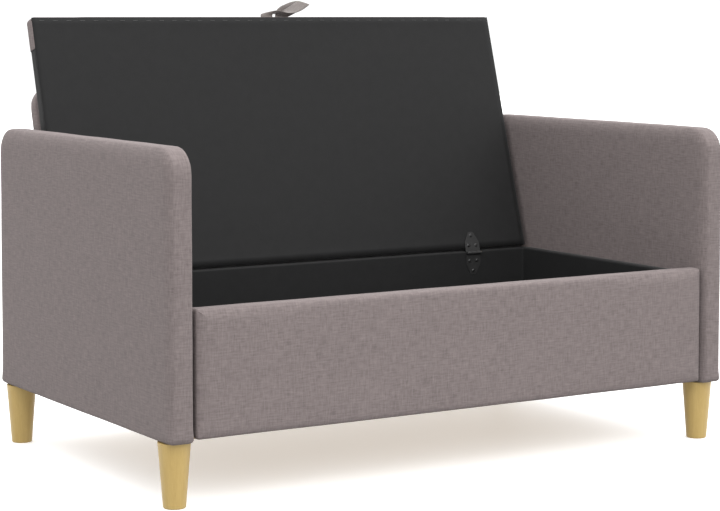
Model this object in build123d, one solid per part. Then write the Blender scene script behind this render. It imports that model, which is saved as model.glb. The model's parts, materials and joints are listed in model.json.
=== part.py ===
from build123d import *
import math
import os

os.makedirs("parts", exist_ok=True)

# Storage bench, millimetres, +Z up, front faces -Y.
# Origin: on the floor, in the middle of the footprint of the two arms.

# ---------------------------------------------------------------- overall sizes
width = 1130.0            # outside of arm to outside of arm
depth = 700.0             # front to rear of the arms
arm_height = 574.0        # top of the arms above the floor
arm_thick = 48.0
leg_height = 106.0        # underside of the arms
rim_height = 308.0        # top of the box rim
panel_rise = 11.0         # top of the padded front panel above the rim
back_rise = 81.0          # top of the backrest above the arms
lean = 16.5               # backrest and open lid, degrees past upright

# ---------------------------------------------------------------- stock sizes
cloth = 1.2               # upholstery fabric
lining = 1.0              # black non-woven lining
skin = 3.0                # hardboard skins
board = 16.0              # box and panel boards
lid_board = 15.0
base_thick = 15.0
rail = 45.0               # width of the frame timbers
arm_frame = 26.0          # thickness of the arm timbers
back_frame = 18.0         # thickness of the backrest timbers

# ---------------------------------------------------------------- clearances
glue = 0.1                # between glued or screwed boards
soft = 0.3                # between a soft layer and what it covers
stop_gap = 0.4            # open lid to backrest
rest_gap = 0.5            # closed lid to rim
hole_gap = 0.1            # radial, round bolts and screws
run_gap = 0.05            # radial, hinge pin in its knuckles
leaf_gap = 0.4            # round a knuckle, in the other leaf
past = 1.0                # how far a cutting block runs past what it cuts

# ---------------------------------------------------------------- shapes
arm_corner = 46.0         # arm top corners, seen from the side
arm_edge = 14.0           # arm edges, front and top
back_thick = 38.0
back_corner = 44.0
back_edge = 12.0
frame_inset = 12.0        # frame timbers behind the upholstered outline
panel_setback = 2.0       # front panel behind the arm fronts
panel_pad = 14.0          # padding in front of the panel board
panel_crown = 4.0         # padding over the top of the panel board
panel_edge = 10.0
panel_drop = 4.0          # panel underside above the arm underside
end_gap = 1.0             # panel end to arm
return_lip = 15.0         # cover turned in behind the panel board, at its top
foot_lip = 6.0            # and at its foot
panel_gap = 3.9           # closed lid to the turned-in panel cover
lid_side_gap = 11.0       # lid end to arm
lid_thick = 28.0
lid_edge = 8.0
rim_clear = 1.0           # end of the open lid above the rim
strip_width = 60.0        # fabric strip along the lid front
ledge, ledge_high = 20.0, 24.0
rear_setback = 1.5        # rear panel behind the arm rears
rear_gap = 7.8            # top of the rear panel to the backrest
rear_board = 12.0
rear_edge = 5.0
back_drop = 12.0          # foot of the backrest below the hinge axis, along the lean
strut_thick, strut_in = 22.0, 76.0   # outer struts in from the ends of the backrest
strut_drop = 5.0          # rear of a strut below the top of the rear panel
least_corner = 1.0        # of a layer inside a rounded outline
leg_in_x, leg_in_y = 27.0, 41.5
leg_r_top, leg_r_foot, foot_round = 26.7, 18.3, 2.5
bolt_r, bolt_in_leg, bolt_in_rail = 4.0, 40.0, 30.0
hinge_x = 376.0
hinge_from_rear = 171.0   # hinge axis in front of the arm rears
knuckle_r, pin_r, leaf_thick = 3.2, 1.5, 1.4
leaf_wide, leaf_tip, leaf_long = 34.0, 15.0, 43.0
leaf_step, leaf_nip = 22.0, 3.0      # where a leaf starts to taper, and its clipped tip
screws = [(-8.7, 15.7), (8.7, 15.7), (0.0, 35.7)]
screw_r, head_r, neck_r, head_high, screw_deep = 1.6, 3.6, 2.16, 1.4, 11.0
loop_wide, loop_thick, loop_gap = 23.0, 1.6, 7.4
loop_tuck = 22.0          # ends of the pull loop under the lid cover

# ---------------------------------------------------------------- derived
front, rear = -depth / 2, depth / 2
half = width / 2
bay = half - arm_thick                      # inner face of the arms
pin_y = rear - hinge_from_rear
leaf_off = knuckle_r + glue                 # hinge axis to the faces the leaves lie on
pin_z = rim_height + rest_gap - leaf_off
lid_half = bay - lid_side_gap
panel_top = rim_height + panel_rise
back_top = arm_height + back_rise
c, s = math.cos(math.radians(lean)), math.sin(math.radians(lean))   # of the lean


def block(x0, x1, y0, y1, z0, z1):
    return Pos((x0 + x1) / 2, (y0 + y1) / 2, (z0 + z1) / 2) * Box(x1 - x0, y1 - y0, z1 - z0)


def save(name, shape):
    shape.label = name
    export_step(shape, os.path.join("parts", name + ".step"))


def rounded(x0, x1, y0, y1, z0, z1, radius, faces):
    """A block with every edge round the faces picked by the axis letters rounded."""
    b = block(x0, x1, y0, y1, z0, z1)
    picked = []
    for axis, end in faces:
        picked += b.faces().sort_by(axis)[end].edges()
    return fillet(list({hash(e): e for e in picked}.values()), radius)


# ---------------------------------------------------------------- upholstered slabs
def slab(length, height, thick, corner, edge=0.0, inset=0.0, side=0.0, foot=0.0):
    """Upright slab along X, two rounded top corners, its edges rounded but not its foot."""
    hl, top, r = length / 2 - inset, height - inset, max(corner - inset, least_corner)
    with BuildSketch(Plane.XZ) as sk:
        with BuildLine():
            Polyline((-hl, top - r), (-hl, foot), (hl, foot), (hl, top - r))
            RadiusArc((hl, top - r), (hl - r, top), -r)
            Line((hl - r, top), (-hl + r, top))
            RadiusArc((-hl + r, top), (-hl, top - r), -r)
        make_face()
    t = thick / 2 - side
    body = extrude(sk.sketch, t, both=True)
    if edge > 0:
        rim = [e for f in (body.faces().sort_by(Axis.Y)[0], body.faces().sort_by(Axis.Y)[-1])
               for e in f.edges() if e.center().Z > foot + past]
        body = fillet(rim, edge)
    return body


def upholstered(name, place, length, height, thick, corner, edge, timber):
    """Timber frame, hardboard skins, padding and a fabric cover, all nested."""
    lap = cloth + soft
    cover = slab(length, height, thick, corner, edge) - \
        slab(length, height, thick, corner, edge - cloth, cloth, cloth, cloth)
    core = timber + 2 * (glue + skin)
    pad = slab(length, height, thick, corner, edge - lap, lap, lap, lap) - \
        slab(length, height, core + 2 * soft, corner, 0, frame_inset - soft, 0, -past)
    frame = slab(length, height, timber, corner, 0, frame_inset, 0, lap)
    plate = slab(length, height, skin, corner, 0, frame_inset, 0, lap)
    off = timber / 2 + glue + skin / 2
    hl, post = length / 2, length / 2 - frame_inset - rail
    t = timber
    top, low = height - frame_inset - rail, lap + rail
    parts = {
        "left_post": frame & block(-hl, -post, -t, t, -past, height),
        "right_post": frame & block(post, hl, -t, t, -past, height),
        "top_rail": frame & block(-post + glue, post - glue, -t, t, top, height),
        "bottom_rail": frame & block(-post + glue, post - glue, -t, t, -past, low),
        "skins": Compound([Pos(0, -off, 0) * plate, Pos(0, off, 0) * plate]),
        "padding": pad,
        "cover": cover,
    }
    return {name + "_" + key: place * shape for key, shape in parts.items()}


nodes = {}

# ---------------------------------------------------------------- arms
for tag, sx in (("l", -1), ("r", 1)):
    place = Pos(sx * (half - arm_thick / 2), 0, leg_height) * Rot(0, 0, 90)
    arm = upholstered("arm_" + tag, place, depth, arm_height - leg_height, arm_thick,
                      arm_corner, arm_edge, arm_frame)
    # the slab is turned, so its left end is the front of the arm
    for key, shape in arm.items():
        nodes[key.replace("left_post", "front_post").replace("right_post", "rear_post")] = shape

# ---------------------------------------------------------------- legs and their bolts
for tag, sx, sy in (("fl", -1, -1), ("fr", 1, -1), ("rl", -1, 1), ("rr", 1, 1)):
    x, y = sx * (half - leg_in_x), sy * (depth / 2 - leg_in_y)
    top = leg_height - glue
    leg = Pos(x, y, top / 2) * Cone(leg_r_foot, leg_r_top, top)
    leg = fillet(leg.edges().sort_by(Axis.Z)[0], foot_round)
    z0, z1 = leg_height - bolt_in_leg, leg_height + cloth + soft + bolt_in_rail
    bolt = Pos(x, y, (z0 + z1) / 2) * Cylinder(bolt_r, z1 - z0)
    bore = Pos(x, y, (z0 + z1) / 2) * Cylinder(bolt_r + hole_gap, z1 - z0 + past)
    nodes["leg_" + tag] = leg - bore
    nodes["leg_bolt_" + tag] = bolt
    arm = "arm_" + tag[1]
    post = arm + ("_front_post" if sy < 0 else "_rear_post")
    for key in (arm + "_cover", post):
        nodes[key] = nodes[key] - bore

# ---------------------------------------------------------------- box boards
wall_out = bay - soft                            # outer face of the side boards
wall_in = wall_out - board
board_top = rim_height - lining - glue
panel_face = front + panel_setback
panel_board_y = panel_face + cloth + soft + panel_pad + soft
panel_back = panel_board_y + board
hinge_face = pin_y + leaf_off                    # lining on the hinge board
hinge_board_y = hinge_face + lining + glue
hinge_back = hinge_board_y + board
rear_face = rear - rear_setback
rear_board_y = rear_face - cloth - soft - rear_board
panel_low = leg_height + panel_drop
base_z = panel_low + cloth + soft
base_top = base_z + base_thick
wall_foot = base_top + glue
lip_back = panel_back + glue + cloth             # rear of the panel cover where it is turned in
box_front = lip_back + glue
lid_far = pin_y - lip_back - panel_gap           # hinge axis to the lid front edge
# the lid ends where its lower corner, once open, clears the rear edge of the rim
lid_setback = c * (rim_height + rim_clear - pin_z) + s * (hinge_back - pin_y)

nodes["base_board"] = block(-wall_out, wall_out, box_front, rear_board_y - glue,
                            base_z, base_top)
for tag, sx in (("l", -1), ("r", 1)):
    x0, x1 = sorted((sx * wall_in, sx * wall_out))
    nodes["side_board_" + tag] = block(x0, x1, box_front, hinge_back, wall_foot, board_top)
nodes["hinge_board"] = block(-wall_in + glue, wall_in - glue, hinge_board_y, hinge_back,
                             wall_foot, board_top)

# ---------------------------------------------------------------- front panel
panel_half = bay - end_gap
lap = cloth + soft
inner = panel_half - lap
nodes["panel_board"] = block(-inner, inner, panel_board_y, panel_back, base_z,
                             panel_top - lap - panel_crown - soft)
solid = rounded(-panel_half, panel_half, panel_face, lip_back,
                panel_low, panel_top, panel_edge, [(Axis.Y, 0)])
hollow = rounded(-panel_half + cloth, panel_half - cloth, panel_face + cloth, panel_back + glue,
                 panel_low + cloth, panel_top - cloth, panel_edge - cloth, [(Axis.Y, 0)])
window = block(-inner + past, inner - past, panel_back - past, lip_back + past,
               base_z + foot_lip, panel_top - lap - return_lip)
nodes["panel_cover"] = solid - hollow - window
pad = rounded(-inner, inner, panel_face + lap, panel_back, base_z, panel_top - lap,
              panel_edge - lap, [(Axis.Y, 0)])
nodes["panel_padding"] = pad - block(-inner - past, inner + past, panel_board_y - soft,
                                     panel_back + past, base_z - past, panel_top - lap - panel_crown)
# the ledge that carries the lid front
nodes["front_ledge"] = block(-wall_in + lining + soft, wall_in - lining - soft, lip_back + soft,
                             lip_back + soft + ledge, rim_height - ledge_high, rim_height - glue)

# ---------------------------------------------------------------- box lining, hemmed over the rim
in_x, in_y0 = wall_in - glue - lining, panel_back + 2 * glue + lining
solid = block(-in_x - lining, in_x + lining, in_y0 - lining, hinge_face + lining,
              base_top + glue, board_top + glue)
hem = block(-wall_out, wall_out, box_front, hinge_back, board_top + glue, rim_height)
room = block(-in_x, in_x, in_y0, hinge_face, base_top + glue + lining, rim_height + past)
front_cut = block(-wall_out - past, wall_out + past, front, box_front,
                  panel_top - lap - return_lip - past, rim_height + past)
ledge_cut = block(-wall_out - past, wall_out + past, front, lip_back + soft + ledge,
                  board_top + glue, rim_height + past)
nodes["box_lining"] = solid + hem - room - front_cut - ledge_cut

# ---------------------------------------------------------------- rear panel


def on_lean(q, up):
    """Point at distance q behind the hinge axis, square to the lean, and up along it."""
    return pin_y + q * c + up * s, pin_z - q * s + up * c


back_q = leaf_off + lid_thick + stop_gap         # front face of the backrest
# the rear panel stops where the leaning backrest comes close to it
back_rear = back_q + back_thick
rear_top = on_lean(back_rear, (rear_board_y - rear_gap - pin_y - back_rear * c) / s)[1]
plate = rounded(-inner, inner, rear_board_y, rear_board_y + rear_board, base_z, rear_top - lap,
                rear_edge - lap, [(Axis.Y, -1)])
nodes["rear_board"] = plate
solid = rounded(-panel_half, panel_half, rear_board_y, rear_face, panel_low, rear_top,
                rear_edge, [(Axis.Y, -1)])
hollow = rounded(-panel_half + cloth, panel_half - cloth, rear_board_y - past, rear_face - cloth,
                 panel_low + cloth, rear_top - cloth, rear_edge - cloth, [(Axis.Y, -1)])
nodes["rear_cover"] = solid - hollow

# ---------------------------------------------------------------- backrest on its struts
back_high = (back_top - pin_z + back_q * s) / c + back_drop
y0, z0 = on_lean(back_q + back_thick / 2, -back_drop)
nodes.update(upholstered("back", Pos(0, y0, z0) * Rot(-lean, 0, 0), 2 * lid_half, back_high,
                         back_thick, back_corner, back_edge, back_frame))

strut_y = rear_board_y - glue
strut_top = rear_top - strut_drop
low_front = on_lean(back_q, -back_drop - soft)
low_rear = on_lean(back_rear + soft, -back_drop - soft)
up = (strut_top - low_rear[1]) / c
strut = [(hinge_back + glue, wall_foot), (strut_y, wall_foot), (strut_y, strut_top),
         (low_rear[0] + up * s, strut_top), low_rear, low_front, (hinge_back + glue, low_front[1])]
profile = make_face(Plane.YZ * Polyline(*strut, close=True))
nodes["back_struts"] = Compound([Pos(x - strut_thick / 2, 0, 0) * extrude(profile, strut_thick)
                                 for x in (strut_in - lid_half, 0.0, lid_half - strut_in)])

# ---------------------------------------------------------------- lid, drawn closed and swung open
def lid_block(x0, x1, far, near, z0, z1):
    """Distances far and near run forwards from the hinge axis, heights up from it."""
    return block(x0, x1, pin_y - far, pin_y - near, pin_z + z0, pin_z + z1)


swing = Pos(0, pin_y, pin_z) * Rot(-90 - lean, 0, 0) * Pos(0, -pin_y, -pin_z)
under, over = leaf_off, leaf_off + lid_thick
board_low = under + lining + glue
board_high = board_low + lid_board
lid = {}
solid = rounded(-lid_half, lid_half, pin_y - lid_far, pin_y - lid_setback,
                pin_z + under, pin_z + over, lid_edge, [(Axis.Z, -1)])
hollow = rounded(-lid_half + cloth, lid_half - cloth, pin_y - lid_far + cloth,
                 pin_y - lid_setback - cloth, pin_z + under - past, pin_z + over - cloth,
                 lid_edge - cloth, [(Axis.Z, -1)])
shell = solid - hollow
cut = lid_far - strip_width
lid["lid_front_strip"] = shell & lid_block(-half, half, lid_far + past, cut, 0, over + past)
lid["lid_top_cover"] = shell & lid_block(-half, half, cut - 2 * glue, 0, 0, over + past)
lid["lid_board"] = lid_block(-lid_half + lap, lid_half - lap, lid_far - lap, lid_setback + lap,
                             board_low, board_high)
lid["lid_padding"] = rounded(-lid_half + lap, lid_half - lap, pin_y - lid_far + lap,
                             pin_y - lid_setback - lap, pin_z + board_high + soft,
                             pin_z + over - lap, lid_edge - lap, [(Axis.Z, -1)])
lid["lid_lining"] = lid_block(-lid_half + lap, lid_half - lap, lid_far - lap, lid_setback + lap,
                              under, under + lining)

# pull loop: a ribbon, both ends flat on the lid board and side by side
leg_x = (loop_gap + loop_wide) / 2
lie = board_high + glue + loop_thick / 2
path = [  # x, beyond the lid front, height above the hinge axis, band direction
    (-leg_x, -loop_tuck, lie, (1, 0, 0)), (-leg_x, 3, lie, (1, 0, 0)),
    (-leg_x + 2, 9, lie - 1.5, (1, -0.15, 0)), (-leg_x + 11, 14, lie - 2.5, (0.9, -0.45, 0)),
    (6, 17, lie - 2.8, (0.7, -0.7, 0)), (28, 20, lie - 2.8, (0.65, -0.75, 0)),
    (52, 25, lie - 2.5, (0.75, -0.65, 0)), (70, 30, lie - 1.6, (0.85, -0.5, 0)),
    (75, 31.5, lie + 1.2, (0.9, -0.43, 0)),
    (70, 31, lie + 3.8, (0.9, -0.43, 0)), (52, 27, lie + 6.5, (0.85, -0.5, 0)),
    (34, 21, lie + 7.5, (0.9, -0.4, 0)), (leg_x + 7, 14, lie + 6, (1, -0.25, 0)),
    (leg_x + 1, 7, lie + 2.5, (1, 0, 0)), (leg_x, 2, lie, (1, 0, 0)),
    (leg_x, -loop_tuck, lie, (1, 0, 0)),
]
spots = [Vector(x, pin_y - lid_far - h, pin_z + z) for x, h, z, _ in path]
sections = []
for i, (_, _, _, w) in enumerate(path):
    run = spots[min(i + 1, len(path) - 1)] - spots[max(i - 1, 0)]
    across = Vector(w[0], -w[1], w[2])
    across = (across - run.normalized() * across.dot(run.normalized())).normalized()
    frame = Plane(spots[i], x_dir=across, z_dir=run.normalized())
    sections.append(frame * Rectangle(loop_wide, loop_thick))
lid["pull_loop"] = Solid.make_loft([f.face().outer_wire() for f in sections], ruled=True)
for sx in (-1, 1):
    pocket = Pos(sx * leg_x, 0, 0) * lid_block(-loop_wide / 2 - soft, loop_wide / 2 + soft,
                                               lid_far + past, lid_far - loop_tuck - past,
                                               lie - (loop_thick + glue) / 2,
                                               lie + loop_thick / 2 + soft)
    for key in ("lid_front_strip", "lid_padding"):
        lid[key] = lid[key] - pocket

# ---------------------------------------------------------------- hinges
def leaf(x, centre):
    """Leaf lying forwards of the axis, its knuckles in the middle or at the two ends."""
    w, t, n = leaf_wide / 2, leaf_tip / 2, leaf_wide / 6
    nip = leaf_nip
    outline = [(-w, 0), (w, 0), (w, leaf_step), (t, leaf_long - nip), (t - nip, leaf_long),
               (nip - t, leaf_long), (-t, leaf_long - nip), (-w, leaf_step)]
    face = make_face(Polyline(*[(a, -b) for a, b in outline], close=True))
    plate = Pos(0, 0, knuckle_r - leaf_thick) * extrude(face, leaf_thick)
    room = knuckle_r + leaf_gap
    roll = Rot(0, 90, 0) * Cylinder(knuckle_r, 2 * n - 2 * glue)
    if centre:
        for sx in (-1, 1):
            plate = plate - Pos(sx * 2 * n, 0, 0) * Box(2 * n + glue, 2 * room, 4 * knuckle_r)
        body = plate + roll
    else:
        plate = plate - Box(2 * n + glue, 2 * room, 4 * knuckle_r)
        body = plate + Pos(-2 * n, 0, 0) * roll + Pos(2 * n, 0, 0) * roll
    body = body - Rot(0, 90, 0) * Cylinder(pin_r + run_gap, leaf_wide + 2 * past)
    for a, b in screws:
        body = body - Pos(a, -b, 0) * Cylinder(screw_r + hole_gap, 4 * knuckle_r)
    return Pos(x, 0, 0) * body


def leaf_screws(x, grow=0.0):
    low = knuckle_r - leaf_thick
    base = (Align.CENTER, Align.CENTER, Align.MIN)
    out = []
    for a, b in screws:
        # the shank starts inside the head, so that the two are one solid
        shank = Pos(0, 0, -past) * Cylinder(screw_r + grow, screw_deep + past + grow, align=base)
        head = Pos(0, 0, -head_high) * Cone(neck_r, head_r, head_high - hole_gap, align=base)
        out.append(Pos(x + a, -b, low) * (shank if grow else shank + head))
    return Compound(out)


to_lid = Pos(0, pin_y, pin_z)
to_box = Pos(0, pin_y, pin_z) * Rot(90, 0, 0)
for tag, x in (("l", -hinge_x), ("r", hinge_x)):
    lid["hinge_%s_lid_leaf" % tag] = to_lid * leaf(x, True)
    lid["hinge_%s_lid_screws" % tag] = to_lid * leaf_screws(x)
    # turned a quarter: the box leaf hangs down the hinge board
    nodes["hinge_%s_box_leaf" % tag] = to_box * mirror(leaf(x, False), Plane.XY)
    nodes["hinge_%s_box_screws" % tag] = to_box * mirror(leaf_screws(x), Plane.XY)
    nodes["hinge_%s_pin" % tag] = Pos(x, pin_y, pin_z) * Rot(0, 90, 0) * Cylinder(pin_r, leaf_wide)
    for key in ("lid_board", "lid_lining"):
        lid[key] = lid[key] - to_lid * leaf_screws(x, hole_gap)
    for key in ("hinge_board", "box_lining"):
        nodes[key] = nodes[key] - to_box * mirror(leaf_screws(x, hole_gap), Plane.XY)
    # the lining is cut away where the open lid leaf leans back over the rim
    w = leaf_wide / 2 + soft
    leaf_rear = pin_y + (knuckle_r + (rim_height - pin_z) * s) / c + soft
    nodes["box_lining"] = nodes["box_lining"] - block(x - w, x + w, pin_y, leaf_rear,
                                                      pin_z - knuckle_r, rim_height + past)

nodes.update({key: swing * shape for key, shape in lid.items()})

for key, shape in nodes.items():
    save(key, shape)
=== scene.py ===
import json
import math
from contextlib import contextmanager

import bmesh
import bpy
import numpy as np
from mathutils import Matrix, Vector, noise


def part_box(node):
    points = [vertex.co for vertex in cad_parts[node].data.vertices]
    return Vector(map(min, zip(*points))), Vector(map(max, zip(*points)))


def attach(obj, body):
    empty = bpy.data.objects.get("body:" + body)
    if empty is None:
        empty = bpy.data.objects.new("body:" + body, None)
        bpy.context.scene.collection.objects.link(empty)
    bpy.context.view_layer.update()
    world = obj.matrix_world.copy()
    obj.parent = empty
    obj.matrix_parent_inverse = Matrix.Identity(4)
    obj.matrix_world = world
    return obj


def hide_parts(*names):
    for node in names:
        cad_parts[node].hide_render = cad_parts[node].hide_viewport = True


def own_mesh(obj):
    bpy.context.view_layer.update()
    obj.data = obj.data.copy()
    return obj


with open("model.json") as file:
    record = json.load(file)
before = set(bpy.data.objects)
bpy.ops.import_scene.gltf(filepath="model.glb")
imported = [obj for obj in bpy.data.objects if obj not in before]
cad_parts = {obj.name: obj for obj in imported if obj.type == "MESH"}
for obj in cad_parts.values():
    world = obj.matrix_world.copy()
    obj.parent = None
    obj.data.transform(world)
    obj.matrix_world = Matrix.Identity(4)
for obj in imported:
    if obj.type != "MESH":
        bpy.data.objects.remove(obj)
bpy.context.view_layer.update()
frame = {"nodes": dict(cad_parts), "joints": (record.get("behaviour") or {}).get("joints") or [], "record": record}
MM = 0.001

# ---------------------------------------------------------------- places taken from the frame
HINGE = Vector(frame["joints"][0]["pos_m"])
LEAN = math.radians(frame["joints"][0]["range_deg"][1] - 90.0)
UPRIGHT = Matrix.Identity(4)
# the open lid and the backrest are upright slabs leaned back about the hinge axis
LEANED = Matrix.Translation(HINGE) @ Matrix.Rotation(-LEAN, 4, "X") @ Matrix.Translation(-HINGE)
# an arm is a slab whose length runs front to rear
SIDEWAYS = Matrix.Rotation(math.pi / 2, 4, "Z")


def corners(node, turn=UPRIGHT):
    """Lowest and highest corner of a CAD node in the frame that turn takes to its place."""
    back = turn.inverted()
    points = np.array([back @ v.co for v in frame["nodes"][node].data.vertices])
    return Vector(points.min(0)), Vector(points.max(0))


# ---------------------------------------------------------------- materials
LINEN_DARK = (0.124, 0.103, 0.101)
LINEN_LIGHT = (0.240, 0.201, 0.197)
THREAD_PITCH = 1.25 * MM               # of the linen
RIB_PITCH = 2.4 * MM                   # of the ribbon
SCREEN_PITCH = 1.8 * MM                # of the hardboard's faint pattern


class Finish:
    """A procedural material. Most of its methods add nodes and return their output."""

    def __init__(self, name, **sockets):
        self.material = bpy.data.materials.new(name)
        self.material.use_nodes = True
        self.tree = self.material.node_tree
        self.shader = self.tree.nodes["Principled BSDF"]
        for key, value in sockets.items():
            self.shader.inputs[key.replace("_", " ")].default_value = value
        self.place = self.add("TexCoord", out="Object")

    def add(self, kind, inputs=None, out=0, **settings):
        node = self.tree.nodes.new("ShaderNode" + kind)
        for key, value in settings.items():
            setattr(node, key, value)
        for key, value in (inputs or {}).items():
            self.put(node.inputs[key], value)
        return node.outputs[out]

    def put(self, socket, value):
        if isinstance(value, bpy.types.NodeSocket):
            self.tree.links.new(value, socket)
        else:
            socket.default_value = value

    def calc(self, operation, a, b=0.0):
        return self.add("Math", {0: a, 1: b}, operation=operation)

    def total(self, *terms):
        """Sum of (socket, weight) pairs, each socket taken about its middle of 0.5."""
        result = 0.5
        for socket, weight in terms:
            part = self.calc("MULTIPLY", self.calc("SUBTRACT", socket, 0.5), weight)
            result = self.calc("ADD", part, result)
        return result

    def point(self, x, y, z=0.0):
        return self.add("CombineXYZ", {0: x, 1: y, 2: z})

    def scaled(self, vector, x, y, z):
        return self.add("VectorMath", {0: vector, 1: (x, y, z)}, operation="MULTIPLY")

    def grain(self, vector, detail=2.0, roughness=0.5, warp=0.0):
        return self.add("TexNoise", {"Vector": vector, "Scale": 1.0, "Detail": detail,
                                     "Roughness": roughness, "Distortion": warp})

    def between(self, factor, dark, light):
        return self.add("Mix", {0: factor, 6: (*dark, 1.0), 7: (*light, 1.0)}, out=2,
                        data_type="RGBA", clamp_factor=True)

    def spread(self, value, low, high):
        return self.add("MapRange", {"Value": value, "To Min": low, "To Max": high})

    def finish(self, colour, height=None, depth=0.2 * MM, strength=0.5, roughness=None):
        self.put(self.shader.inputs["Base Color"], colour)
        if roughness is not None:
            self.put(self.shader.inputs["Roughness"], roughness)
        if height is not None:
            bump = self.add("Bump", {"Strength": strength, "Distance": depth, "Height": height})
            self.put(self.shader.inputs["Normal"], bump)
        return self.material

    def cloth_plane(self):
        """Two coordinates in the plane that the surface faces most."""
        normal = self.add("TexCoord", out="Normal")
        n = [self.calc("ABSOLUTE", self.add("SeparateXYZ", {0: normal}, out=i)) for i in range(3)]
        p = [self.add("SeparateXYZ", {0: self.place}, out=i) for i in range(3)]
        side_on = self.calc("GREATER_THAN", n[0], self.calc("MAXIMUM", n[1], n[2]))
        flat = self.calc("GREATER_THAN", n[2], self.calc("MAXIMUM", n[0], n[1]))
        u = self.calc("ADD", p[0], self.calc("MULTIPLY", side_on, self.calc("SUBTRACT", p[1], p[0])))
        v = self.calc("ADD", p[2], self.calc("MULTIPLY", flat, self.calc("SUBTRACT", p[1], p[2])))
        return u, v

    def weave(self, u, v, pitch):
        """Height of a plain weave: each thread rides over one and under the next."""
        a = self.calc("SINE", self.calc("MULTIPLY", u, math.pi / pitch))
        b = self.calc("SINE", self.calc("MULTIPLY", v, math.pi / pitch))
        over = self.calc("MULTIPLY", self.calc("MULTIPLY", a, b), 0.35)
        warp = self.calc("MULTIPLY", self.calc("ABSOLUTE", a), self.calc("ADD", over, 0.65))
        weft = self.calc("MULTIPLY", self.calc("ABSOLUTE", b), self.calc("SUBTRACT", 0.65, over))
        return self.calc("MAXIMUM", warp, weft)


def linen():
    """Taupe upholstery cloth: a plain weave with slubs both ways."""
    f = Finish("taupe_linen", Sheen_Weight=0.06, Sheen_Roughness=0.5, Specular_IOR_Level=0.2)
    u, v = f.cloth_plane()
    drift = f.grain(f.scaled(f.point(u, v), 90.0, 90.0, 1.0))
    drift = f.calc("MULTIPLY", f.calc("SUBTRACT", drift, 0.5), 0.9 * MM)
    threads = f.weave(f.calc("ADD", u, drift), f.calc("SUBTRACT", v, drift), THREAD_PITCH)
    across = f.grain(f.scaled(f.point(u, v), 50.0, 400.0, 1.0), detail=3.0, roughness=0.6)
    upward = f.grain(f.scaled(f.point(u, v, 7.0), 400.0, 50.0, 1.0), detail=3.0, roughness=0.6)
    cloud = f.grain(f.scaled(f.place, 16.0, 16.0, 16.0), detail=3.0)
    fuzz = f.grain(f.scaled(f.place, 1500.0, 1500.0, 1500.0), detail=1.0)
    # the threads term puts the weave's height into the colour: painted shade between the threads, a little lighter
    # where they ride over
    tone = f.total((across, 1.35), (upward, 1.25), (threads, 0.3), (cloud, 0.16), (fuzz, 0.3))
    colour = f.between(tone, LINEN_DARK, LINEN_LIGHT)
    height = f.total((threads, 0.8), (across, 0.9), (upward, 0.8), (fuzz, 0.3))
    return f.finish(colour, height, depth=0.5 * MM, strength=0.45, roughness=f.spread(tone, 0.8, 0.95))


def nonwoven():
    """Black spunbonded cloth: matted fibres pressed together at small points."""
    f = Finish("black_nonwoven", Specular_IOR_Level=0.12, Sheen_Weight=0.12, Sheen_Roughness=0.3)
    u, v = f.cloth_plane()
    plane = f.point(u, v)
    points = f.add("TexVoronoi", {"Vector": plane, "Scale": 620.0, "Randomness": 0.25}, out="Distance")
    fibres = f.grain(f.scaled(plane, 700.0, 240.0, 1.0), detail=4.0, warp=1.2)
    matted = f.grain(f.scaled(f.place, 55.0, 55.0, 55.0), detail=5.0, roughness=0.6)
    tone = f.total((fibres, 0.9), (matted, 0.8), (points, 0.25))
    colour = f.between(tone, (0.014, 0.014, 0.0142), (0.0235, 0.0235, 0.0238))
    height = f.total((fibres, 0.5), (points, 0.8), (matted, 0.3))
    return f.finish(colour, height, depth=0.25 * MM, strength=0.3, roughness=f.spread(tone, 0.6, 0.75))


def grosgrain():
    """Ribbon with its ribs across it; u runs over its width and v along it, in metres."""
    f = Finish("ribbed_ribbon", Sheen_Weight=0.2, Roughness=0.7)
    place = f.add("UVMap")
    along = f.add("SeparateXYZ", {0: place}, out=1)
    rib = f.calc("ABSOLUTE", f.calc("SINE", f.calc("MULTIPLY", along, math.pi / RIB_PITCH)))
    yarn = f.grain(f.scaled(place, 900.0, 5000.0, 1.0), detail=2.0)
    wear = f.grain(f.scaled(place, 60.0, 60.0, 1.0), detail=3.0)
    # the rib term darkens the colour in the hollows between the ribs and lightens it on their crests: painted
    # shade, on top of the ribs' real relief
    tone = f.total((rib, 1.2), (yarn, 0.5), (wear, 0.4))
    colour = f.between(tone, (0.03, 0.025, 0.023), (0.19, 0.163, 0.152))
    return f.finish(colour, f.total((rib, 0.4), (yarn, 0.8)), depth=0.3 * MM, strength=0.5)


def wood(name, dark, light, lengthways, fine=1.0, gloss=0.0, roughness=0.5):
    """Straight-grained wood; lengthways is the axis number that the grain follows."""
    f = Finish(name, Coat_Weight=gloss, Coat_Roughness=0.3, Specular_IOR_Level=0.4)
    stretch = [170.0 * fine] * 3
    stretch[lengthways] = 7.0 * fine
    pores = [900.0 * fine] * 3
    pores[lengthways] = 45.0 * fine
    bands = f.grain(f.scaled(f.place, *stretch), detail=4.0, roughness=0.55, warp=0.6)
    flecks = f.grain(f.scaled(f.place, *pores), detail=2.0, roughness=0.7)
    broad = f.grain(f.scaled(f.place, 9.0, 9.0, 9.0), detail=2.0)
    tone = f.total((bands, 0.9), (flecks, 0.7), (broad, 0.5))
    height = f.total((flecks, 0.7), (bands, 0.3))
    return f.finish(f.between(tone, dark, light), height, depth=0.12 * MM, strength=0.25,
                    roughness=f.spread(flecks, roughness - 0.08, roughness + 0.12))


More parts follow.
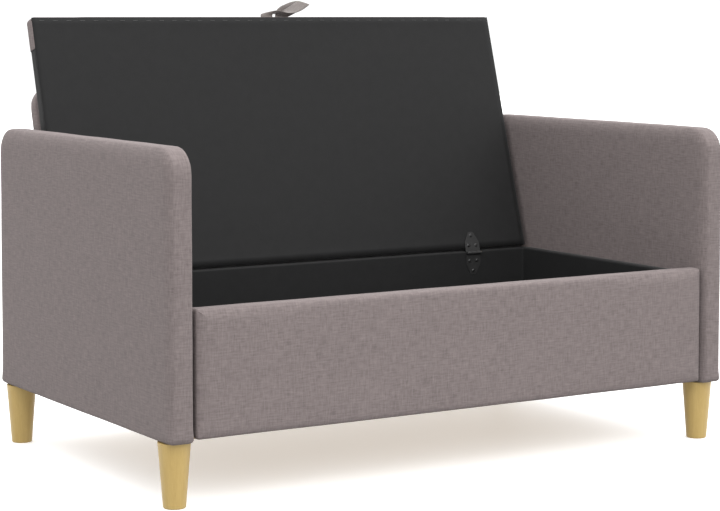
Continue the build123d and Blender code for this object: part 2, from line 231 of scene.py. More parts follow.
def hardboard():
    """Pressed brown fibre with a faint screen pattern."""
    f = Finish("hardboard", Specular_IOR_Level=0.3)
    u, v = f.cloth_plane()
    fibres = f.grain(f.scaled(f.point(u, v), 420.0, 420.0, 1.0), detail=5.0, roughness=0.7)
    screen = f.weave(u, v, SCREEN_PITCH)
    # the screen term puts the pattern's height into the colour: painted shade in its hollows
    tone = f.total((fibres, 1.3), (screen, 0.3))
    colour = f.between(tone, (0.09, 0.048, 0.024), (0.2, 0.115, 0.062))
    return f.finish(colour, f.total((screen, 0.6), (fibres, 0.5)), strength=0.3,
                    roughness=f.spread(fibres, 0.55, 0.75))


def fleece():
    """White polyester wadding."""
    f = Finish("wadding", Sheen_Weight=0.4, Roughness=0.95)
    tufts = f.grain(f.scaled(f.place, 160.0, 160.0, 160.0), detail=5.0, roughness=0.7, warp=1.0)
    colour = f.between(tufts, (0.6, 0.59, 0.56), (0.86, 0.85, 0.82))
    return f.finish(colour, tufts, depth=1.2 * MM, strength=0.6)


def steel(name, dark, light, metallic, roughness, brushed):
    """Sheet or bar steel; brushed is how strongly its surface is drawn out one way."""
    f = Finish(name, Metallic=metallic, Specular_IOR_Level=0.5)
    drawn = f.grain(f.scaled(f.place, 500.0, 500.0 + 1800.0 * brushed, 4000.0), detail=3.0)
    smudge = f.grain(f.scaled(f.place, 130.0, 130.0, 130.0), detail=3.0)
    tone = f.total((drawn, 0.7), (smudge, 0.8))
    return f.finish(f.between(tone, dark, light), drawn, depth=0.05 * MM, strength=0.2,
                    roughness=f.spread(smudge, roughness - 0.08, roughness + 0.15))


FINISHES = {
    "fabric": linen(),
    "lining": nonwoven(),
    "ribbon": grosgrain(),
    "screw_steel": steel("blackened_screws", (0.03, 0.03, 0.03), (0.10, 0.10, 0.10), 0.9, 0.38, 0.2),
    "hinge_steel": steel("black_hinges", (0.012, 0.012, 0.012), (0.022, 0.022, 0.022), 0.0, 0.55, 0.6),
    "leg_wood": wood("beech", (0.385, 0.258, 0.079), (0.51, 0.363, 0.127), 2, gloss=0.12,
                     roughness=0.42),
    "wadding": fleece(),
    "hardboard": hardboard(),
    "board": wood("plywood", (0.45, 0.31, 0.17), (0.62, 0.46, 0.29), 0, fine=0.7, roughness=0.7),
    "timber": wood("pine", (0.52, 0.35, 0.17), (0.72, 0.54, 0.31), 2, fine=0.5, roughness=0.65),
}
for entry in frame["record"]["subparts"]:
    mesh = frame["nodes"][entry["node"]].data
    mesh.materials.clear()
    mesh.materials.append(FINISHES[entry["material_slot"]])


# ---------------------------------------------------------------- mesh helpers
def add_object(name, data):
    obj = bpy.data.objects.new(name, data)
    bpy.context.scene.collection.objects.link(obj)
    return obj


def new_object(name, points, faces):
    mesh = bpy.data.meshes.new(name)
    mesh.from_pydata([tuple(p) for p in points], [], faces)
    mesh.validate()
    return add_object(name, mesh)


def object_from(name, work):
    """A new object from a bmesh, which is freed."""
    mesh = bpy.data.meshes.new(name)
    work.to_mesh(mesh)
    work.free()
    return add_object(name, mesh)


@contextmanager
def edited(obj):
    """The object's mesh as a bmesh, written back at the end."""
    work = bmesh.new()
    work.from_mesh(obj.data)
    yield work
    work.to_mesh(obj.data)
    work.free()


def read_points(obj):
    out = np.zeros(len(obj.data.vertices) * 3)
    obj.data.vertices.foreach_get("co", out)
    return out.reshape(-1, 3)


def read_normals(obj):
    return np.array([v.normal for v in obj.data.vertices])


def write_points(obj, points):
    obj.data.vertices.foreach_set("co", np.asarray(points, float).ravel())
    obj.data.update()


def settle(obj):
    """Replaces the mesh by what its modifiers make of it."""
    graph = bpy.context.evaluated_depsgraph_get()
    mesh = bpy.data.meshes.new_from_object(obj.evaluated_get(graph))
    obj.modifiers.clear()
    obj.data = mesh


def face_outward(obj):
    with edited(obj) as work:
        bmesh.ops.recalc_face_normals(work, faces=work.faces)


def thicken(obj, amount, offset):
    """Gives a sheet its thickness: outside it at offset 1, inside at -1, half and half at 0."""
    thick = obj.modifiers.new("thick", "SOLIDIFY")
    thick.thickness, thick.offset = amount, offset
    settle(obj)


def subdivide(obj):
    smooth = obj.modifiers.new("smooth", "SUBSURF")
    smooth.levels = smooth.render_levels = 1


def dress(obj, slot, body):
    """Smooth shading, the slot's finish, and the CAD body that the piece rides on."""
    obj.data.materials.clear()
    obj.data.materials.append(FINISHES[slot])
    obj.data.polygons.foreach_set("use_smooth", [True] * len(obj.data.polygons))
    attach(obj, body)


# ---------------------------------------------------------------- upholstered slabs
THIN_EDGE_SHARE = 0.45                 # most of a slab's thickness that one rounded edge takes
TINY = 1e-9                            # counts as nothing, and keeps divisions from failing
ON_OUTLINE = 1e-6                      # nearer than this to the outline is on it
NARROW_SHARE = 0.25                    # part of the broad faces' shrinking that narrow sides get
PUFF_FRAMES = 14
PUFF_PRESSURE = 4.0
FLAT_REACH = 2 * MM                    # what is this near to a board lies on it
WAVE_HEIGHT, WAVE_LENGTH = 0.45 * MM, 90 * MM
WAVE_SINK = 0.25 * MM                  # keeps the waves from standing proud
# rounded edges: how far over the face, and how far into the thickness
SOFT_EDGE = (24 * MM, 12 * MM)
PANEL_EDGE = (22 * MM, 10 * MM)
TIGHT_EDGE = (2 * MM, 2 * MM)


def marks(low, high, edge, step):
    """Places along one side: close together over its rounded ends, then evenly spaced."""
    ends = edge * np.array([0.0, 0.25, 0.5, 0.75, 1.0])
    count = max(2, int(round((high - low - 2 * edge) / step)))
    middle = np.linspace(low + edge, high - edge, count + 1)
    return np.concatenate([low + ends[:-1], middle, high - ends[:-1][::-1]])


def box_skin(xs, ys, zs):
    """Points and quads of a box's six sides on a grid of places, welded along its edges."""
    index, points, faces = {}, [], []

    def corner(i, j, k):
        if (i, j, k) not in index:
            index[i, j, k] = len(points)
            points.append((xs[i], ys[j], zs[k]))
        return index[i, j, k]

    def quad(*places):
        faces.append([corner(*place) for place in places])

    nx, ny, nz = len(xs) - 1, len(ys) - 1, len(zs) - 1
    for i in range(nx):
        for k in range(nz):
            quad((i, 0, k), (i + 1, 0, k), (i + 1, 0, k + 1), (i, 0, k + 1))
            quad((i, ny, k), (i, ny, k + 1), (i + 1, ny, k + 1), (i + 1, ny, k))
    for j in range(ny):
        for k in range(nz):
            quad((0, j, k), (0, j, k + 1), (0, j + 1, k + 1), (0, j + 1, k))
            quad((nx, j, k), (nx, j + 1, k), (nx, j + 1, k + 1), (nx, j, k + 1))
    for i in range(nx):
        for j in range(ny):
            quad((i, j, 0), (i, j + 1, 0), (i + 1, j + 1, 0), (i + 1, j, 0))
            quad((i, j, nz), (i + 1, j, nz), (i + 1, j + 1, nz), (i, j + 1, nz))
    return np.array(points), faces


def outline_distance(across, up, half, foot, top, top_round, foot_round):
    """How far each point is inside a rounded rectangle, and the outward direction there."""
    side, roof, ground = half - np.abs(across), top - up, up - foot
    depth = np.minimum(np.minimum(side, roof), ground)
    out_x = np.where(depth == side, np.sign(across), 0.0)
    out_z = np.where(depth == side, 0.0, np.where(depth == roof, 1.0, -1.0))
    for radius, gap, sign in ((top_round, roof, 1), (foot_round, ground, -1)):
        a, b = radius - side, radius - gap
        inside = (a > 0) & (b > 0)
        reach = np.maximum(np.hypot(a, b), TINY)
        depth = np.where(inside, radius - reach, depth)
        out_x = np.where(inside, np.sign(across) * a / reach, out_x)
        out_z = np.where(inside, sign * b / reach, out_z)
    return np.maximum(depth, 0.0), (out_x, out_z)


def slab(name, low, high, step, top_round, foot_round, front, rear, under_round):
    """Upright closed slab: corners rounded in its outline, edges rolled over front and rear, and
    tighter along its foot. Length runs along x, thickness along y, height along z. The front and
    rear edges are quarter ellipses: how far each reaches over the face, and into the thickness."""
    edge = max(front[0], rear[0])
    thin_edge = min(max(front[1], rear[1]), (high[1] - low[1]) * THIN_EDGE_SHARE)
    points, faces = box_skin(marks(low[0], high[0], edge, step),
                             marks(low[1], high[1], thin_edge, step),
                             marks(low[2], high[2], edge, step))
    middle = (low[0] + high[0]) / 2
    half = (high[0] - low[0]) / 2
    across, up = points[:, 0] - middle, points[:, 2]
    # squares at the four corners of the outline become quarter discs
    roundings = ((top_round, high[2] - top_round, 1), (foot_round, low[2] + foot_round, -1))
    for radius, centre, sign in roundings:
        a = (np.abs(across) - (half - radius)) / radius
        b = sign * (up - centre) / radius
        inside = (a > 0) & (b > 0)
        bent_a = a * np.sqrt(np.maximum(1 - b**2 / 2, 0))
        bent_b = b * np.sqrt(np.maximum(1 - a**2 / 2, 0))
        across = np.where(inside, np.sign(across) * (half - radius + bent_a * radius), across)
        up = np.where(inside, centre + sign * bent_b * radius, up)
    # distance in from the outline, and the way out to it
    depth, way = outline_distance(across, up, half, low[2], high[2], top_round, foot_round)
    near_foot = np.clip(0.5 + (half - np.abs(across) - (up - low[2])) / (2 * edge), 0.0, 1.0)
    for face, roll, sign in ((low[1], front, 1), (high[1], rear, -1)):
        wide, tall = (size + (min(under_round, size) - size) * near_foot for size in roll)
        height = sign * (points[:, 1] - face)
        on_face = (height < TINY) & (depth < wide)
        on_rim = (height < tall) & (depth < ON_OUTLINE)
        turn = np.where(on_rim, 1 + height / tall, 1 - depth / wide) * math.pi / 4
        bend = on_face | on_rim
        inset = wide * (1 - np.sin(turn))
        across = np.where(bend, across - way[0] * (inset - depth), across)
        up = np.where(bend, up - way[1] * (inset - depth), up)
        lifted = face + sign * tall * (1 - np.cos(turn))
        points[:, 1] = np.where(bend, lifted, points[:, 1])
    points[:, 0] = across + middle
    points[:, 2] = up
    obj = new_object(name, points, faces)
    face_outward(obj)
    return obj


def shrink(obj, amount):
    """Moves the two broad faces inwards by the amount, and the narrow sides by their share of it."""
    normals = read_normals(obj)
    share = NARROW_SHARE + (1 - NARROW_SHARE) * np.abs(normals[:, 1:2])
    write_points(obj, read_points(obj) - normals * amount * share)


def puff(obj, cap):
    """Pressure swells the closed cloth; no point moves further than cap, and none moves inwards."""
    start, normals = read_points(obj), read_normals(obj)
    cloth = obj.modifiers.new("cloth", "CLOTH")
    settings = cloth.settings
    settings.quality = 5
    settings.mass = 0.3
    settings.tension_stiffness = settings.compression_stiffness = 12.0
    settings.shear_stiffness = 6.0
    settings.bending_stiffness = 1.5
    settings.use_pressure = True
    settings.uniform_pressure_force = PUFF_PRESSURE
    settings.effector_weights.gravity = 0.0
    cloth.point_cache.frame_start, cloth.point_cache.frame_end = 1, PUFF_FRAMES
    for number in range(1, PUFF_FRAMES + 1):
        bpy.context.scene.frame_set(number)
    settle(obj)
    bpy.context.scene.frame_set(1)
    moved = read_points(obj) - start
    inward = np.minimum((moved * normals).sum(axis=1, keepdims=True), 0.0)
    moved -= normals * inward
    reach = np.maximum(np.linalg.norm(moved, axis=1, keepdims=True), TINY)
    write_points(obj, start + moved / reach * cap * np.tanh(reach / cap))


def press_flat(points, face, sign):
    """Brings a broad side that lies on a board back onto its plane; sign is the way it faces."""
    near = sign * (face - points[:, 1]) < FLAT_REACH
    points[:, 1] = np.where(near, face, points[:, 1])


def waviness(points, seed):
    """Offsets of a gentle random waviness, one number for each point."""
    shift = Vector((seed, 2.3 * seed, 5.1 * seed))
    return np.array([noise.noise(Vector(p) / WAVE_LENGTH + shift) for p in points])


def upholster(name, nodes, turn, spare, fill, seed, swell=True, rear_flat=False, **shape):
    """A padded slab in the space of the first of the nodes that it replaces; shape goes to slab."""
    low, high = corners(nodes[0], turn)
    obj = slab(name, low, high, **shape)
    shrink(obj, spare)
    if swell:
        puff(obj, spare)
    points = read_points(obj)
    waves = WAVE_HEIGHT * waviness(points, seed) - WAVE_SINK
    points += read_normals(obj) * waves[:, None]
    if rear_flat:
        press_flat(points, high.y, 1)
    write_points(obj, points)
    obj.data.transform(turn)
    subdivide(obj)
    dress(obj, "fabric", "bench")
    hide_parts(*nodes)


for seed, arm in ((1, "arm_l"), (2, "arm_r")):
    upholster(arm + "_upholstery", (arm + "_cover", arm + "_padding"), SIDEWAYS,
              spare=1.5 * MM, fill=0.85, seed=seed, step=13 * MM, top_round=46 * MM,
              foot_round=9 * MM, front=SOFT_EDGE, rear=SOFT_EDGE, under_round=6 * MM)
upholster("backrest_upholstery", ("back_cover", "back_padding"), LEANED,
          spare=1.5 * MM, fill=0.85, seed=3, step=14 * MM, top_round=44 * MM,
          foot_round=8 * MM, front=SOFT_EDGE, rear=SOFT_EDGE, under_round=5 * MM)
upholster("front_panel_upholstery", ("panel_cover", "panel_padding"), UPRIGHT,
          spare=1.2 * MM, fill=0.9, seed=4, step=13 * MM, top_round=5 * MM, foot_round=5 * MM,
          front=PANEL_EDGE, rear=TIGHT_EDGE, under_round=9 * MM, rear_flat=True)
upholster("rear_panel_upholstery", ("rear_cover",), UPRIGHT,
          spare=0.3 * MM, fill=1.0, seed=5, step=16 * MM, top_round=5 * MM, foot_round=5 * MM,
          front=(1.5 * MM, 1.5 * MM), rear=(5 * MM, 5 * MM), under_round=5 * MM, swell=False)


# ---------------------------------------------------------------- lid
STRIP_FOOT, LID_TIP = (end.z for end in corners("lid_front_strip", LEANED))
LID_SPARE = 0.9 * MM
UNDER_LID = 1.05 * MM                  # room under the cushion for the lining
STRIP_LIFT, STRIP_THICK = 0.25 * MM, 1.1 * MM


def lid_cushion():
    """Black padded cover of the lid, flat underneath and crowned on top."""
    low, high = corners("lid_top_cover", LEANED)
    high.z = LID_TIP
    low.y += UNDER_LID
    obj = slab("lid_upholstery", low, high, step=13 * MM, top_round=7 * MM, foot_round=4 * MM,
               front=(0.6 * MM, 0.6 * MM), rear=(9 * MM, 9 * MM), under_round=9 * MM)
    shrink(obj, LID_SPARE)
    puff(obj, LID_SPARE)
    points = read_points(obj)
    press_flat(points, low.y, -1)
    write_points(obj, points)
    return obj, low, high


def front_strip(cushion, low, width):
    """Taupe strip wrapped round the front edge of the lid, over the black cover."""
    work = bmesh.new()
    work.from_mesh(cushion.data)
    everything = work.verts[:] + work.edges[:] + work.faces[:]
    bmesh.ops.bisect_plane(work, geom=everything, plane_co=(0, 0, LID_TIP - width),
                           plane_no=(0, 0, -1), clear_outer=True)
    work.normal_update()
    under = [face for face in work.faces
             if face.normal.y < -0.5 and face.calc_center_median().y < low.y + FLAT_REACH]
    bmesh.ops.delete(work, geom=under, context="FACES")
    for vert in work.verts:
        vert.co += vert.normal * STRIP_LIFT
    strip = object_from("lid_front_strip_cloth", work)
    thicken(strip, STRIP_THICK, 1.0)
    return strip


cushion, lid_low, lid_high = lid_cushion()
strip_width = lid_high.z - STRIP_FOOT
strip = front_strip(cushion, lid_low, strip_width)
for piece, slot, nodes in ((cushion, "lining", ("lid_top_cover", "lid_padding")),
                           (strip, "fabric", ("lid_front_strip",))):
    piece.data.transform(LEANED)
    subdivide(piece)
    dress(piece, slot, "lid")
    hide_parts(*nodes)


# ---------------------------------------------------------------- lining under the lid
SHEET_THICK = 0.7 * MM
SHEET_SPARE = 1.0 * MM                 # how far it reaches past the CAD lining
SHEET_GRID = (85, 41)
SHEET_SLACK = 0.30 * MM
SHEET_WAVES = (9, 14)                  # per metre, across and up
BORDER = 14 * MM                       # width turned in and so double
BORDER_DEPTH = 0.35 * MM               # below the face of the CAD lining
MIDDLE_DEPTH = 0.45 * MM               # of the single cloth, below the border
STAPLE_INSET, STAPLE_SPACING = 6.0 * MM, 27 * MM
STAPLE_LONG, STAPLE_WIDE, STAPLE_THICK = 9.2 * MM, 1.1 * MM, 0.55 * MM
STAPLE_DEPTH = 0.225 * MM              # its middle, below the face of the CAD lining
STAPLE_ROUND = 0.16 * MM
STAPLE_TILT = 0.12


def lid_underside():
    """Lining under the lid, turned in along its border so that the border is double."""
    low, high = corners("lid_lining", LEANED)
    low = low - Vector((SHEET_SPARE, 0, 0))
    high = high + Vector((SHEET_SPARE, 0, SHEET_SPARE))
    xs = np.linspace(low.x, high.x, SHEET_GRID[0])
    zs = np.linspace(low.z, high.z, SHEET_GRID[1])
    xs = np.unique(np.concatenate([xs, [low.x + BORDER, high.x - BORDER]]))
    zs = np.unique(np.concatenate([zs, [low.z + BORDER, high.z - BORDER]]))
    points, faces = [], []
    for z in zs:
        for x in xs:
            inside = min(x - low.x, high.x - x, z - low.z, high.z - z)
            past = min(1.0, max(0.0, (inside - BORDER * 0.8) / (BORDER * 0.4)))
            wave = Vector((x * SHEET_WAVES[0], z * SHEET_WAVES[1], 3.7))
            slack = SHEET_SLACK * noise.noise(wave) * min(1.0, inside / BORDER)
            points.append((x, low.y + BORDER_DEPTH + MIDDLE_DEPTH * past + slack, z))
    n = len(xs)
    for k in range(len(zs) - 1):
        for i in range(n - 1):
            faces.append([k * n + i, k * n + i + 1, (k + 1) * n + i + 1, (k + 1) * n + i])
    obj = new_object("lid_underside_lining", points, faces)
    thicken(obj, SHEET_THICK, -1.0)
    face_outward(obj)
    return obj, low, high


def staples(low, high):
    """Row of staples that holds the lining along its upper border."""
    row = high.x - low.x - 2 * STAPLE_INSET
    count = int(row / STAPLE_SPACING) + 1
    size = Matrix.Diagonal((STAPLE_LONG, STAPLE_THICK, STAPLE_WIDE, 1.0))
    work = bmesh.new()
    for number in range(count):
        x = low.x + STAPLE_INSET + row * (number + 0.5) / count
        tilt = STAPLE_TILT * noise.noise(Vector((number * 1.7, 0.3, 0.9)))
        place = Matrix.Translation((x, low.y + STAPLE_DEPTH, high.z - STAPLE_INSET))
        place = place @ Matrix.Rotation(tilt, 4, "Y") @ size
        made = bmesh.ops.create_cube(work, size=1.0, matrix=place)
        edges = list({edge for vert in made["verts"] for edge in vert.link_edges})
        bmesh.ops.bevel(work, geom=edges, offset=STAPLE_ROUND, segments=2, affect="EDGES",
                        profile=0.5)
    return object_from("lid_staples", work)


underside, sheet_low, sheet_high = lid_underside()
underside.data.transform(LEANED)
dress(underside, "lining", "lid")
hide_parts("lid_lining")
pins = staples(sheet_low, sheet_high)
pins.data.transform(LEANED)
dress(pins, "screw_steel", "lid")


# ---------------------------------------------------------------- box lining
LEFT, REAR, RIGHT, FRONT = range(4)    # the walls, in the order of the way round the box
OUTWARD = [Vector(way) for way in ((-1, 0), (0, 1), (1, 0), (0, -1))]
LINING_THICK = 0.9 * MM
LINING_STEP = 13 * MM
LINING_BEND = 3 * MM                   # radius from wall to wall, and from wall to floor
LINING_SLACK = 0.7 * MM
SLACK_ALONG, SLACK_DOWN = 17, 1.5      # its waves, per metre of wall and from rim to floor
WALL_GAP, FRONT_GAP, FLOOR_GAP = 1.2 * MM, 1.4 * MM, 1.0 * MM     # from board to middle of cloth
LEDGE_GAP = 1.0 * MM
BARE_DROP = 1.2 * MM                   # how far below the rim a side's front end stops
RIM_DROP, WALL_START = 0.3 * MM, 1.0 * MM      # the hem's inner edge, and the wall's first row
# the rim is pressed in behind each hinge: half the width of that and its fade, then how far it goes
# outwards, down at the rim, and down on the wall
NOTCH_HALF, NOTCH_FADE = 16 * MM, 5 * MM
NOTCH_OUT, NOTCH_DOWN, NOTCH_WALL = 1.2 * MM, 2.0 * MM, 1.5 * MM
HEM_SHARES = (1.0, 0.66, 0.33, 0.08)   # over the rim, from its outer edge
WALL_SHARES = (0.0, 0.012, 0.03, 0.075, 0.17, 0.33, 0.5, 0.67, 0.83, 0.93, 0.975, 1.0)
FLOOR_INSETS = (10 * MM, 30 * MM)
WELD = 0.01 * MM


def way_round(wall_x, front_y, rear_y):
    """Places round the inside of the box from its front left, each with its way out and wall."""
    turns = [Vector(place) for place in ((-wall_x, front_y), (-wall_x, rear_y),
                                         (wall_x, rear_y), (wall_x, front_y))]
    ring = []
    for wall in (LEFT, REAR, RIGHT, FRONT):
        following = (wall + 1) % 4
        start, end, out = turns[wall], turns[following], OUTWARD[wall]
        run = (end - start).normalized()
        length = (end - start).length
        count = int(length / LINING_STEP)
        for i in range(count + 1):
            along = LINING_BEND + (length - 2 * LINING_BEND) * i / count
            ring.append((start + run * along, out, wall))
        centre = end - run * LINING_BEND - out * LINING_BEND
        for degrees, owner in ((30, wall), (60, following)):
            a = math.radians(degrees)
            way = out * math.cos(a) + OUTWARD[following] * math.sin(a)
            ring.append((centre + way * LINING_BEND, way, owner))
    return ring


def box_lining():
    """One cloth: laid on the floor, up the four walls, and over the rim at sides and rear."""
    low, high = corners("box_lining")
    side_board, hinge_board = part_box("side_board_r"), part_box("hinge_board")
    wall_x, rear_y = side_board[0].x - WALL_GAP, hinge_board[0].y - WALL_GAP
    side_hem, rear_hem = side_board[1].x - wall_x, hinge_board[1].y - rear_y
    front_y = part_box("panel_cover")[1].y + FRONT_GAP
    front_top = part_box("front_ledge")[0].z - LEDGE_GAP
    floor_z, rim_z = low.z + FLOOR_GAP, high.z
    leaves = [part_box("hinge_%s_box_leaf" % side) for side in "lr"]
    hinge_xs = [(leaf[0].x + leaf[1].x) / 2 for leaf in leaves]

    def column(spot, way, wall, hemmed):
        """Points from the hem's outer edge over the rim, down the wall and on to the floor."""
        top = rim_z if hemmed else front_top if wall == FRONT else rim_z - BARE_DROP
        hem = side_hem if wall in (LEFT, RIGHT) else rear_hem
        off = max(0.0, min(abs(spot.x - x) for x in hinge_xs) - NOTCH_HALF)
        notch = max(0.0, 1.0 - off / NOTCH_FADE) if wall == REAR else 0.0
        rows = []
        for share in HEM_SHARES:
            innermost = share == HEM_SHARES[-1]
            over = spot + way * (hem * share if hemmed else 0.0)
            over += way * notch * NOTCH_OUT * innermost
            rows.append((over.x, over.y, top - (RIM_DROP + notch * NOTCH_DOWN) * innermost))
        upper = top - WALL_START
        for share in WALL_SHARES:
            slack = LINING_SLACK * math.sin(math.pi * share)
            wave = (spot.x * SLACK_ALONG, spot.y * SLACK_ALONG, share * SLACK_DOWN)
            slack *= noise.noise(Vector(wave)) + 0.2
            back = spot - way * slack
            sunk = notch * NOTCH_WALL * (share == WALL_SHARES[0])
            rows.append((back.x, back.y, upper - (upper - floor_z - LINING_BEND) * share - sunk))
        for degrees in (30, 60, 90):
            a = math.radians(degrees)
            back = spot - way * LINING_BEND * (1 - math.cos(a))
            rows.append((back.x, back.y, floor_z + LINING_BEND * (1 - math.sin(a))))
        for inset in FLOOR_INSETS:
            x = max(inset - wall_x, min(wall_x - inset, spot.x))
            y = max(front_y + inset, min(rear_y - inset, spot.y))
            rows.append((x, y, floor_z))
        return rows

    ring = way_round(wall_x, front_y, rear_y)
    # the front wall has no hem, and neither have the corners that turn towards it
    hemmed = [wall != FRONT and way.y > -0.1 for spot, way, wall in ring]
    columns = [column(*place, has_hem) for place, has_hem in zip(ring, hemmed)]
    points = [point for rows in columns for point in rows]
    points.append((0.0, (front_y + rear_y) / 2, floor_z))
    per, total = len(columns[0]), len(ring)
    faces = []
    for i in range(total):
        j = (i + 1) % total
        first = 0 if hemmed[i] and hemmed[j] else len(HEM_SHARES)
        for k in range(first, per - 1):
            faces.append([i * per + k, i * per + k + 1, j * per + k + 1, j * per + k])
        faces.append([j * per + per - 1, i * per + per - 1, total * per])
    obj = new_object("box_lining_cloth", points, faces)
    with edited(obj) as work:
        bmesh.ops.remove_doubles(work, verts=work.verts[:], dist=WELD)
        loose = [vert for vert in work.verts if not vert.link_faces]
        bmesh.ops.delete(work, geom=loose, context="VERTS")
    thicken(obj, LINING_THICK, 0.0)
    face_outward(obj)
    long, deep, tall = 2 * wall_x, rear_y - front_y, rim_z - floor_z
    area = long * deep + 2 * (long + deep) * tall
    return obj, (long + 2 * (tall + side_hem), deep + 2 * tall + rear_hem), area


lining, lining_flat, lining_area = box_lining()
dress(lining, "lining", "bench")
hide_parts("box_lining")


# ---------------------------------------------------------------- pull loop
LOOP_WIDTH, LOOP_THICK = 25 * MM, 1.5 * MM
LOOP_HOLLOW = 0.6 * MM                 # how far its middle lies below its edges
LOOP_EDGE, LOOP_THINNING = 0.1, 0.55   # share of its width that thins at each edge, and by how much
LOOP_SIDE_POINTS = 9
LOOP_STEPS = 26                        # places along the ribbon from one path point to the next
RIB_HEIGHT = 0.16 * MM
LOOP_LIE = 20.3 * MM                   # from the hinge axis to where the ribbon lies on the lid
# x, distance beyond the lid's front edge, height over where the ribbon lies, band direction
LOOP_PATH = [
    (-6.0, -22.0, 0.0, (1, 0, 0)), (-6.0, 0.0, 0.0, (1, 0, 0)), (-5.8, 8.5, -0.4, (0.99, 0.04, -0.1)),
    (-3.4, 13.0, -1.8, (0.90, 0.03, -0.42)), (4.5, 14.4, -3.6, (0.58, 0.0, -0.81)),
    (16.0, 13.2, -4.2, (0.34, -0.05, -0.94)), (30.0, 12.4, -4.2, (0.30, -0.25, -0.92)),
    (48.0, 17.0, -3.6, (0.45, -0.5, -0.74)), (66.0, 25.5, -2.5, (0.64, -0.55, -0.54)),
    (79.5, 33.2, -0.8, (0.76, -0.45, -0.47)), (82.0, 34.6, 0.6, (0.76, -0.45, -0.47)),
    (79.5, 34.4, 2.6, (0.77, -0.46, -0.44)), (66.0, 29.5, 6.5, (0.70, -0.68, -0.2)),
    (51.0, 23.0, 9.0, (0.52, -0.85, 0.05)), (38.0, 18.0, 9.5, (0.40, -0.88, 0.25)),
    (29.5, 12.0, 7.5, (0.66, -0.70, 0.25)), (26.0, 6.0, 3.0, (0.95, -0.25, 0.15)),
    (25.0, 0.5, 0.0, (1, 0, 0)), (25.0, -22.0, 0.0, (1, 0, 0)),
]


def smooth_path(points):
    """Points on a Catmull-Rom curve through the points given."""
    out = []
    last = len(points) - 1
    for i in range(last):
        a, b, c, d = points[max(i - 1, 0)], points[i], points[i + 1], points[min(i + 2, last)]
        for k in range(LOOP_STEPS):
            t = k / LOOP_STEPS
            curve = (2 * a - 5 * b + 4 * c - d) * t**2 + (3 * b - 3 * c + d - a) * t**3
            out.append(0.5 * (2 * b + (c - a) * t + curve))
    out.append(points[-1])
    return out


def pull_loop():
    """Ribbed ribbon: out of the lid's edge, a twist, along to the right, and back over itself."""
    root = HINGE.y + LOOP_LIE
    spots = [Vector((x * MM, root + z * MM, LID_TIP + h * MM)) for x, h, z, band in LOOP_PATH]
    bands = [Vector((band[0], band[2], band[1])) for x, h, z, band in LOOP_PATH]
    line, turns = smooth_path(spots), smooth_path(bands)
    steps = [k / (LOOP_SIDE_POINTS - 1) - 0.5 for k in range(LOOP_SIDE_POINTS)]
    profile = [(a, 0.5) for a in steps] + [(a, -0.5) for a in reversed(steps)]
    lengths = [0.0]
    for before, after in zip(line, line[1:]):
        lengths.append(lengths[-1] + (after - before).length)
    points, faces = [], []
    for i, spot in enumerate(line):
        run = (line[min(i + 1, len(line) - 1)] - line[max(i - 1, 0)]).normalized()
        across = turns[i].normalized()
        face = run.cross(across).normalized()
        rib = RIB_HEIGHT * abs(math.sin(math.pi * lengths[i] / RIB_PITCH))
        for a, b in profile:
            edge = 1.0 - LOOP_THINNING * max(0.0, abs(a) - 0.5 + LOOP_EDGE) / LOOP_EDGE
            hollow = LOOP_HOLLOW * (4 * a * a - 0.4)
            out = b * (LOOP_THICK * edge + 2 * rib) + hollow
            points.append(spot + across * a * LOOP_WIDTH + face * out)
    n = len(profile)
    for i in range(len(line) - 1):
        for k in range(n):
            m = (k + 1) % n
            faces.append([i * n + k, i * n + m, (i + 1) * n + m, (i + 1) * n + k])
    faces.append(list(range(n)))
    faces.append([(len(line) - 1) * n + k for k in range(n)][::-1])
    obj = new_object("pull_ribbon", points, faces)
    face_outward(obj)
    chart = obj.data.uv_layers.new(name="ribbon")
    for loop in obj.data.loops:
        i, k = divmod(loop.vertex_index, n)
        chart.data[loop.index].uv = (profile[k][0] * LOOP_WIDTH, lengths[i])
    return obj, lengths[-1]


loop, loop_length = pull_loop()
loop.data.transform(LEANED)
dress(loop, "ribbon", "lid")
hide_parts("pull_loop")
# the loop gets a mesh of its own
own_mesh(loop)


# ---------------------------------------------------------------- floor, light and camera
# along each axis: direction from, to, and the strength at each
STUDIO_RAMPS = (("Z", 0.15, 1.0, 1.15, 2.75),
                ("Z", -0.4, -0.08, 0.45, 1.0),
                ("X", -1.0, 0.0, 0.75, 1.0))


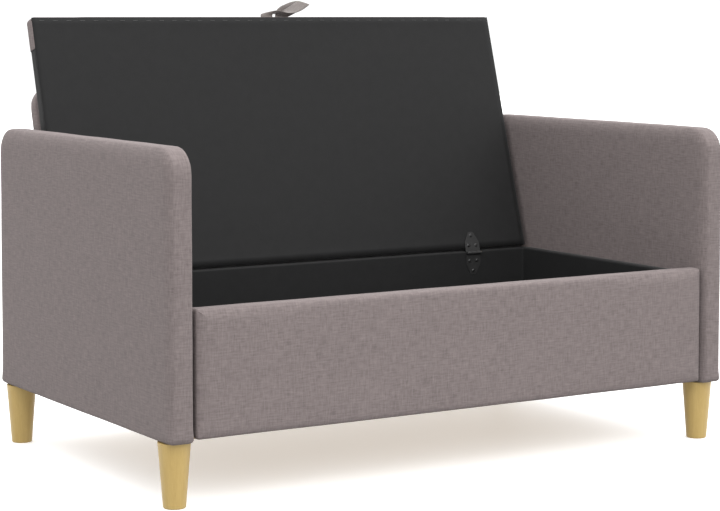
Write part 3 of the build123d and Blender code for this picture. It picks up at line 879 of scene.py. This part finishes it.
def floor():
    size = 14.0
    obj = new_object("floor", [(-size, -size, 0), (size, -size, 0), (size, size, 0), (-size, size, 0)],
                     [[0, 1, 2, 3]])
    f = Finish("pale_floor", Specular_IOR_Level=0.1, Emission_Color=(1.0, 1.0, 1.0, 1.0),
               Emission_Strength=0.35)
    mottle = f.grain(f.scaled(f.place, 3.0, 3.0, 3.0), detail=2.0)
    obj.data.materials.append(f.finish(f.between(mottle, (0.93, 0.93, 0.93), (0.95, 0.95, 0.95))))
    obj.visible_diffuse = False           # what comes from below is the studio's, not the floor's


def soft_light(name, position, target, size, power):
    lamp = bpy.data.lights.new(name, "AREA")
    lamp.energy, lamp.size = power, size
    obj = add_object(name, lamp)
    obj.location = position
    obj.rotation_euler = (Vector(target) - Vector(position)).to_track_quat("-Z", "Y").to_euler()


def studio():
    """White surroundings: bright overhead, dimmer on the left and below, and one large soft light."""
    world = bpy.data.worlds.new("studio")
    bpy.context.scene.world = world
    world.use_nodes = True
    tree = world.node_tree
    sky = tree.nodes["Background"]
    sky.inputs["Color"].default_value = (1.0, 1.0, 1.0, 1.0)
    place = tree.nodes.new("ShaderNodeTexCoord")
    split = tree.nodes.new("ShaderNodeSeparateXYZ")
    tree.links.new(place.outputs["Generated"], split.inputs[0])
    product = None
    for axis, start, end, weak, strong in STUDIO_RAMPS:
        ramp = tree.nodes.new("ShaderNodeMapRange")
        for key, value in (("From Min", start), ("From Max", end), ("To Min", weak), ("To Max", strong)):
            ramp.inputs[key].default_value = value
        tree.links.new(split.outputs[axis], ramp.inputs["Value"])
        if product is None:
            product = ramp.outputs[0]
            continue
        both = tree.nodes.new("ShaderNodeMath")
        both.operation = "MULTIPLY"
        tree.links.new(product, both.inputs[0])
        tree.links.new(ramp.outputs[0], both.inputs[1])
        product = both.outputs[0]
    tree.links.new(product, sky.inputs["Strength"])
    soft_light("key", (-0.6, -3.6, 2.6), (0, 0, 0.3), 2.2, 42.0)
    bpy.context.scene.view_settings.view_transform = "Standard"


def camera():
    """Seen from the front left, a little above, with a long lens."""
    data = bpy.data.cameras.new("camera")
    data.sensor_width, data.lens = 36.0, 106.16
    data.shift_y = -0.1326
    obj = add_object("camera", data)
    obj.location = (-2.0326, -3.2825, 0.7773)
    obj.rotation_euler = (math.pi / 2 - 0.068, 0.0, -0.554)
    bpy.context.scene.camera = obj


floor()
studio()
camera()
